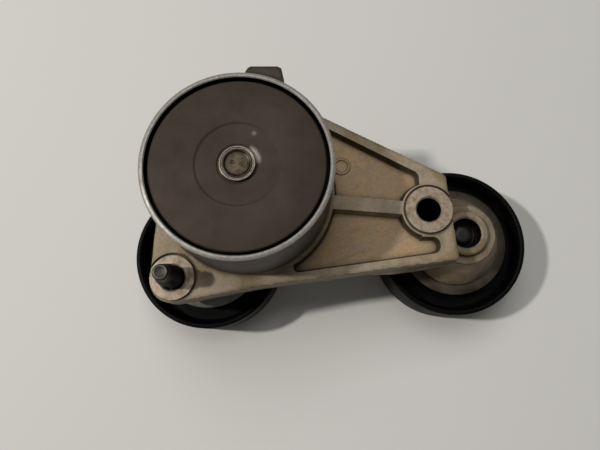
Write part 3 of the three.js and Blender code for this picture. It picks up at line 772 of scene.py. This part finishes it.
def bracket_material(x, y, z, normal):
    """Where a bracket face is decides its finish.

    0 is the cast skin, 1 machined faces, 2 bores painted near black as shade, 3 pocket walls and 4
    flanks, both given painted shade, and 5 the cup's rim.
    """
    cup = math.hypot(x, y)
    # The cup's inside and the bores (2) are painted near black as shade.
    if cup < 36.3 and z < RIM_TOP - 0.3:
        return 2
    if z > RIM_TOP - 1.2:
        return 5
    left = radius_from(LEFT_BOSS, x, y)
    right = radius_from(RIGHT_BOSS, x, y)
    idler = radius_from(IDLER, x, y)
    if (left < 5.7 or right < 5.7) and z < BOSS_TOP - 0.8 or idler < 7.4 and z > 40:
        return 2
    if left < 10 or left < 12 and z < 55 or right < 10.8 or 7.2 < idler < 8.2 and z > 54:
        return 1
    # Pocket walls (3) and the flanks (4) are given painted shade.
    inside = cup > 40 and 20 < x < 90 and -40 < y < 36 and POCKET_FLOOR + 0.1 < z < FLANGE_TOP - 0.5
    if inside and normal.z < 0.9 and not on_outside(x, y):
        return 3
    return 4 if cup > 39 and FLANGE_BOTTOM < z < FLANGE_TOP - 0.6 and abs(normal.z) < 0.6 else 0


def on_outside(x, y):
    """Whether a plan position is within 1.5 mm of the flange's long edges or its right end."""
    edges = ((5.5, -43.8, 96.3, -31.6), (96.3, -31.6, 92.4, 8.2), (92.4, 8.2, 34, 37.9))
    for x0, y0, x1, y1 in edges:
        across = ((x1 - x0) * (y - y0) - (y1 - y0) * (x - x0)) / math.hypot(x1 - x0, y1 - y0)
        if across < 1.5:
            return True
    return False


class TENSIONER_OT_bracket(bpy.types.Operator):
    """Cast and machine the bracket that carries the spring cup and the idler"""

    bl_idname = "tensioner.bracket"
    bl_label = "Bracket"

    def execute(self, context):
        body = bracket_blank()
        cast(body, context.scene.tensioner_sizes.grain * (1), 2)
        sink_pockets(body)
        machine_bracket(body)
        skins = ("cast", "machined", "grime", "walls", "flanks", "rim")
        paint(body, [MATERIALS[skin] for skin in skins], bracket_material)
        smooth(body, 40)
        settle(body, "bracket", "cast_aluminium", "bracket_casting")
        damper = turn("damping_band", PIVOT, [
            [34.1, 43.9], [37.6, 43.9], [37.6, 44.9], [34.1, 44.9]], hoop=True)
        soften(damper, 0.3)
        coat(damper, "cap")
        settle(damper, "bracket", "black_plastic", "damping_ring")
        return {"FINISHED"}


# ---------------------------------------------------------------- swing arm


class TENSIONER_OT_arm(bpy.types.Operator):
    """Cast and machine the swing arm that carries the tensioner pulley"""

    bl_idname = "tensioner.arm"
    bl_label = "Swing arm"

    def execute(self, context):
        body = turn("swing_arm_body", PIVOT, [
            [36.9, 34], [36.9, 43.6], [33.8, 43.6], [33.4, 47.5], [29.8, 47.5], [29.5, 43.6],
            [14, 43.6],
            [13, 51.9]])
        lug = turn("lug", TENSIONER, [[11.4, 27], [11.4, 33.2], [12.6, 34.6], [12.6, 39],
            [11.4, 40.5]])
        combine(body, lug, "UNION")
        cast(body, context.scene.tensioner_sizes.grain * (1.1), 4)
        for axis, profile in (
            (TENSIONER, [[5.3, 20], [5.3, 42.5]]),
            (TENSIONER, [[30, 10], [30, 26.98]]),
            (PIVOT, [[12.9, 20], [12.9, 33.9], [12.3, 34.5], [12.3, 37.3], [8.3, 37.3], [8.3, 60]]),
        ):
            combine(body, turn("cutter", axis, profile), "DIFFERENCE", solver="MANIFOLD")
        paint(body, [MATERIALS["cast"], MATERIALS["machined"]], lambda x, y, z, normal: int(
            radius_from(PIVOT, x, y) < 12.9 or radius_from(TENSIONER, x, y) < 5.4 or z < 27.2))
        smooth(body, 40)
        settle(body, "swing_arm", "cast_aluminium", "arm_casting")
        return {"FINISHED"}


class TENSIONER_OT_pivot(bpy.types.Operator):
    """Turn the thrust plate over the spring cup, and the pivot pin riveted through it"""

    bl_idname = "tensioner.pivot"
    bl_label = "Thrust plate and pivot pin"

    def execute(self, context):
        top, bottom = PLATE_TOP, PLATE_BOTTOM
        plate = turn("thrust_disc", PIVOT, [
            [6.3, bottom], [34.3, bottom], [34.8, bottom + 0.5], [34.8, top - 0.55],
            [34.55, top - 0.2],
            [34.0, top], [17.35, top], [17.05, top - 0.06], [16.55, top - 0.56], [16.2, top - 0.6],
            [8.5, top - 0.6], [8.1, top - 0.7], [7.9, top - 1.0], [6.3, top - 1.1]], hoop=True)
        coat(plate, "plate")
        smooth(plate, 50)
        settle(plate, "swing_arm", "dark_plate", "thrust_plate")
        pin = turn("pivot_pin", PIVOT, [
            [10.6, 34.3], [11.4, 34.5], [12, 35.1], [12, 37], [8, 37], [8, bottom - 0.3],
            [6, bottom - 0.3],
            [6, top - 0.6], [7.1, top - 0.6], [7.3, top - 0.35], [7.3, top], [7.1, top + 0.36],
            [6.8, top + 0.46], [6.45, top + 0.4], [6.25, top + 0.2], [6.05, top + 0.2],
            [5.85, top + 0.44],
            [5.55, top + 0.52], [5.25, top + 0.44], [4.95, top + 0.1], [4.5, top - 0.02],
            [3.4, top - 0.16],
            [1.5, top - 0.22], [0.3, top - 0.22]], sides=96)
        for x, y in ((-1.7, 0.5), (1.5, -0.3)):
            only(pin)
            bpy.ops.object.select_all(action="DESELECT")
            bpy.ops.mesh.primitive_uv_sphere_add(
                radius=2.2 * MM, segments=32, ring_count=24,
                location=(PIVOT[0] + x * MM, PIVOT[1] + y * MM, (top + 1.84) * MM))
            dent = bpy.context.object
            bpy.ops.object.transform_apply(location=True, rotation=True, scale=True)
            combine(pin, dent, "DIFFERENCE")
        paint(pin, [MATERIALS["rivet"], MATERIALS["rivet_edge"]], lambda x, y, z, normal: int(
            z > top and 6.1 < math.hypot(x, y) < 7.25))
        smooth(pin, 40)
        settle(pin, "swing_arm", "shaft_steel", "pivot_shaft")
        return {"FINISHED"}


# ---------------------------------------------------------------- pulleys


class TENSIONER_OT_pulleys(bpy.types.Operator):
    """Mould the two pulleys"""

    bl_idname = "tensioner.pulleys"
    bl_label = "Pulleys"

    def execute(self, context):
        low, high = PULLEY_BOTTOM, PULLEY_TOP
        pulley = turn("tensioner_pulley_rim", TENSIONER, [
            [20.3, 12.2], [23.4, 12.2], [23.7, 12.6], [24.2, 15.6], [25.2, 16.5], [33.2, 16.5],
            [34.2, 15.6], [35.2, low + 1.1], [35.5, low + 0.3], [36, low], [37.1, low],
            [37.6, low + 0.2], [37.9, low + 0.7], [38, low + 1.6], [38, high - 1.6],
            [37.9, high - 0.7],
            [37.6, high - 0.2], [37.1, high], [36, high], [35.5, high - 0.3], [35.2, high - 1.1],
            [34.2, 22.9], [33.2, 22], [25.2, 22], [24.2, 22.9], [23.7, 25.8], [23.4, 26.2],
            [20.3, 26.2]], hoop=True)
        coat(pulley, "nylon")
        smooth(pulley, 40)
        for side, piece in (("idler", twin(pulley, "idler_pulley_rim")), ("tensioner", pulley)):
            settle(piece, f"{side}_pulley", "pulley_nylon", f"{side}_pulley")
        return {"FINISHED"}


def shield_profile(seat, way, depth):
    """A pressed ring with a shallow step, and a cup that the bolt clamps against the bearing."""
    flat = [
        [5.3, 0], [11.9, 0], [12.5, 0.25], [12.8, 0.9], [12.8, depth - 1], [13.1, depth - 0.6],
        [13.8, depth - 0.5], [21.2, depth - 0.5], [21.6, depth - 0.42], [22.2, depth - 0.05],
        [22.7, depth], [27.2, depth], [27.6, depth + 0.3], [27.6, depth + 0.9], [27.2, depth + 1.2],
        [21.5, depth + 1.2], [21.0, depth + 1.12], [20.6, depth + 0.8], [20.2, depth + 0.7],
        [12.9, depth + 0.7], [12, depth + 0.45], [11.6, depth - 0.2], [11.6, 1.7], [11.2, 1.2],
        [5.3, 1.2],
    ]
    return [[radius, seat + way * height] for radius, height in flat]


class TENSIONER_OT_shields(bpy.types.Operator):
    """Press the dust shields beside each bearing, and mould the caps over the bolt heads"""

    bl_idname = "tensioner.shields"
    bl_label = "Dust shields and caps"

    def execute(self, context):
        rear = turn("rear_dust_shield", TENSIONER, shield_profile(BEARING_TOP + 0.3, 1, 5.2),
            hoop=True)
        front = turn("front_dust_shield", TENSIONER, shield_profile(BEARING_BOTTOM - 0.3, -1, 2.2),
            hoop=True)
        cap = turn("bolt_cap", TENSIONER, [
            [17.4, 1.7], [17.4, 9.1], [18.7, 9.1], [19, 8.8], [19, 8], [18.6, 7.7], [18.6, 7.1],
            [19, 6.8], [19, 2], [18.7, 1.2], [18.1, 0.5], [17, 0.05], [15.4, 0], [14.9, 0.5],
            [9.4, 0.5], [9, 0.05], [7.6, 0.05], [7.2, 0.5], [1.4, 0.7]])
        for piece, slot, node_name in (
            (rear, "shield_steel", "rear_shield"),
            (front, "shield_steel", "front_shield"),
            (cap, "black_plastic", "dust_cap"),
        ):
            smooth(piece, 45)
            second = twin(piece, f"idler_{piece.name}")
            piece.name = f"tensioner_{piece.name}"
            # The shields are one part in two tones, as painted light and shade: zinc on the
            # tensioner, darker steel on the idler.
            for each, side, pressed in ((piece, "tensioner", "zinc"), (second, "idler", "shield")):
                coat(each, "cap" if piece is cap else pressed)
                settle(each, CARRIERS[side], slot, f"{side}_{node_name}")
        return {"FINISHED"}


# ---------------------------------------------------------------- bolts


def stem_profile(start, thread_low, thread_high, radius, pitch, end):
    """A bolt's stem: its lower corners, then rings close enough to carry a thread, then its end."""
    rings = int((thread_high - thread_low) / (pitch / 7))
    step = (thread_high - thread_low) / rings
    return start + [[radius, thread_low + step * i] for i in range(rings + 1)] + end


class TENSIONER_OT_bolts(bpy.types.Operator):
    """Turn and thread the pulley bolts, and the captive mounting bolt with its washer"""

    bl_idname = "tensioner.bolts"
    bl_label = "Bolts"

    def execute(self, context):
        for side, axis in SIDES.items():
            tip = PULLEY_BOLT_TIPS[side]
            stem = stem_profile(
                [[7, 3.5], [7.9, 3.5], [10.2, 9.2], [10.4, 9.6], [10.4, 11.2], [10.2, 11.4],
                [5, 11.4]],
                tip - 16, tip - 1.2, 5, 1.5,
                [[4.3, tip - 0.5], [3.4, tip - 0.15], [2.6, tip], [1.4, tip - 0.06]])
            bolt = turn(f"{side}_pulley_screw", axis, stem, sides=48)
            thread(bolt, axis, tip - 16, tip - 0.8, 1.5, 0.75)
            head = hexagon("head", axis, 15, 2.5, 10.4)
            combine(bolt, head, "UNION")
            coat(bolt, "bolt")
            smooth(bolt, 38)
            settle(bolt, CARRIERS[side], "black_bolt_steel", f"{side}_pulley_bolt")

        tip = STUD_TIP
        stem = stem_profile(
            [[5.2, 42], [6.2, 42], [9.3, 46.3], [9.6, 46.7], [9.6, 48], [9.3, STUD_FLANGE],
            [5, STUD_FLANGE]],
            50, tip - 9, 4.97, 1.5,
            [[4.3, tip - 8.3], [3.6, tip - 7.4], [3.4, tip - 7], [3.4, tip - 6.2], [3.5, tip - 6],
             [3.5, tip - 0.9], [3.35, tip - 0.5], [2.95, tip - 0.1], [2.6, tip], [2.3, tip - 0.2],
             [0.5, tip - 0.25]])
        bolt = turn("mounting_stud_bolt", LEFT_BOSS, stem, sides=64)
        thread(bolt, LEFT_BOSS, 50, tip - 8.4, 1.5, 0.8)
        combine(bolt, hexagon("head", LEFT_BOSS, 13, 41, 47.3), "UNION")
        paint(bolt, [MATERIALS["bolt"], MATERIALS["zinc"]], lambda x, y, z, normal: int(
            z > tip - 0.4 and 2.2 < radius_from(LEFT_BOSS, x, y) < 3.1))
        smooth(bolt, 38)
        settle(bolt, "mounting_bolt", "black_bolt_steel", "mounting_bolt")

        washer = turn("captive_washer", LEFT_BOSS,
            [[5.35, 48.6], [9.8, 48.6], [9.8, 50.1], [5.35, 50.1]], hoop=True)
        soften(washer, 0.25)
        coat(washer, "bright")
        settle(washer, "bolt_washer", "bright_steel", "bolt_washer")
        return {"FINISHED"}


# ---------------------------------------------------------------- stage


class TENSIONER_OT_stage(bpy.types.Operator):
    """Lay the floor, hang the lights and set the camera"""

    bl_idname = "tensioner.stage"
    bl_label = "Stage"

    def execute(self, context):
        scene = context.scene
        bpy.ops.object.select_all(action="DESELECT")
        bpy.ops.mesh.primitive_plane_add(size=scene.tensioner_sizes.floor, location=(0, 0, 0))
        floor = context.object
        floor.name = "studio_floor"
        floor.data.materials.append(pale_floor())

        world = scene.world or bpy.data.worlds.new("Studio")
        scene.world = world
        world.use_nodes = True
        backdrop = world.node_tree.nodes["Background"]
        backdrop.inputs["Color"].default_value = linear("#F3F1EC")
        backdrop.inputs["Strength"].default_value = 0.12

        for name, place, size, watts, tint in (
            ("key", (-1.15, 0.03, 1.46), 0.09, 16.2, "#FFFBF5"),
            ("overhead", (-0.12, 0.46, 1.3), 0.8, 6.6, "#FFFFFF"),
        ):
            bpy.ops.object.light_add(type="AREA", location=place)
            lamp = context.object
            lamp.name = f"studio_{name}"
            lamp.data.size = size
            lamp.data.energy = watts
            lamp.data.color = linear(tint)[:3]
            lamp.rotation_euler = (Vector((0, 0, 0.05)) - Vector(place)).to_track_quat("-Z",
                "Y").to_euler()

        bpy.ops.object.camera_add(
            location=(-0.0162, -0.05515, 0.292), rotation=(math.radians(12.29), 0, 0))
        camera = context.object
        camera.data.sensor_width = 36
        camera.data.lens = 30.3
        camera.data.clip_start = 0.01
        scene.camera = camera
        scene.view_settings.view_transform = "Standard"
        return {"FINISHED"}


class TENSIONER_PT_panel(bpy.types.Panel):
    """Lists the steps that build the tensioner, in order"""

    bl_idname = "TENSIONER_PT_panel"
    bl_label = "Belt Tensioner"
    bl_space_type = "VIEW_3D"
    bl_region_type = "UI"
    bl_category = "Tensioner"

    def draw(self, context):
        for group in (context.scene.tensioner_finish, context.scene.tensioner_sizes):
            for name in group.bl_rna.properties.keys():
                if name not in ("rna_type", "name"):
                    self.layout.prop(group, name)
        for step in STEPS:
            self.layout.operator(step.bl_idname)


STEPS = (
    TENSIONER_OT_stage,
    TENSIONER_OT_finishes,
    TENSIONER_OT_bracket,
    TENSIONER_OT_arm,
    TENSIONER_OT_pivot,
    TENSIONER_OT_pulleys,
    TENSIONER_OT_shields,
    TENSIONER_OT_bolts,
)
CLASSES = (TensionerFinish, TensionerSizes, *STEPS, TENSIONER_PT_panel)


def register():
    for cls in CLASSES:
        bpy.utils.register_class(cls)
    bpy.types.Scene.tensioner_finish = bpy.props.PointerProperty(type=TensionerFinish)
    bpy.types.Scene.tensioner_sizes = bpy.props.PointerProperty(type=TensionerSizes)


def unregister():
    del bpy.types.Scene.tensioner_sizes
    del bpy.types.Scene.tensioner_finish
    for cls in reversed(CLASSES):
        bpy.utils.unregister_class(cls)


def main():
    register()
    bpy.ops.tensioner.stage()
    bpy.ops.tensioner.finishes()
    bpy.ops.tensioner.bracket()
    bpy.ops.tensioner.arm()
    bpy.ops.tensioner.pivot()
    bpy.ops.tensioner.pulleys()
    bpy.ops.tensioner.shields()
    bpy.ops.tensioner.bolts()


if __name__ == "__main__":
    main()
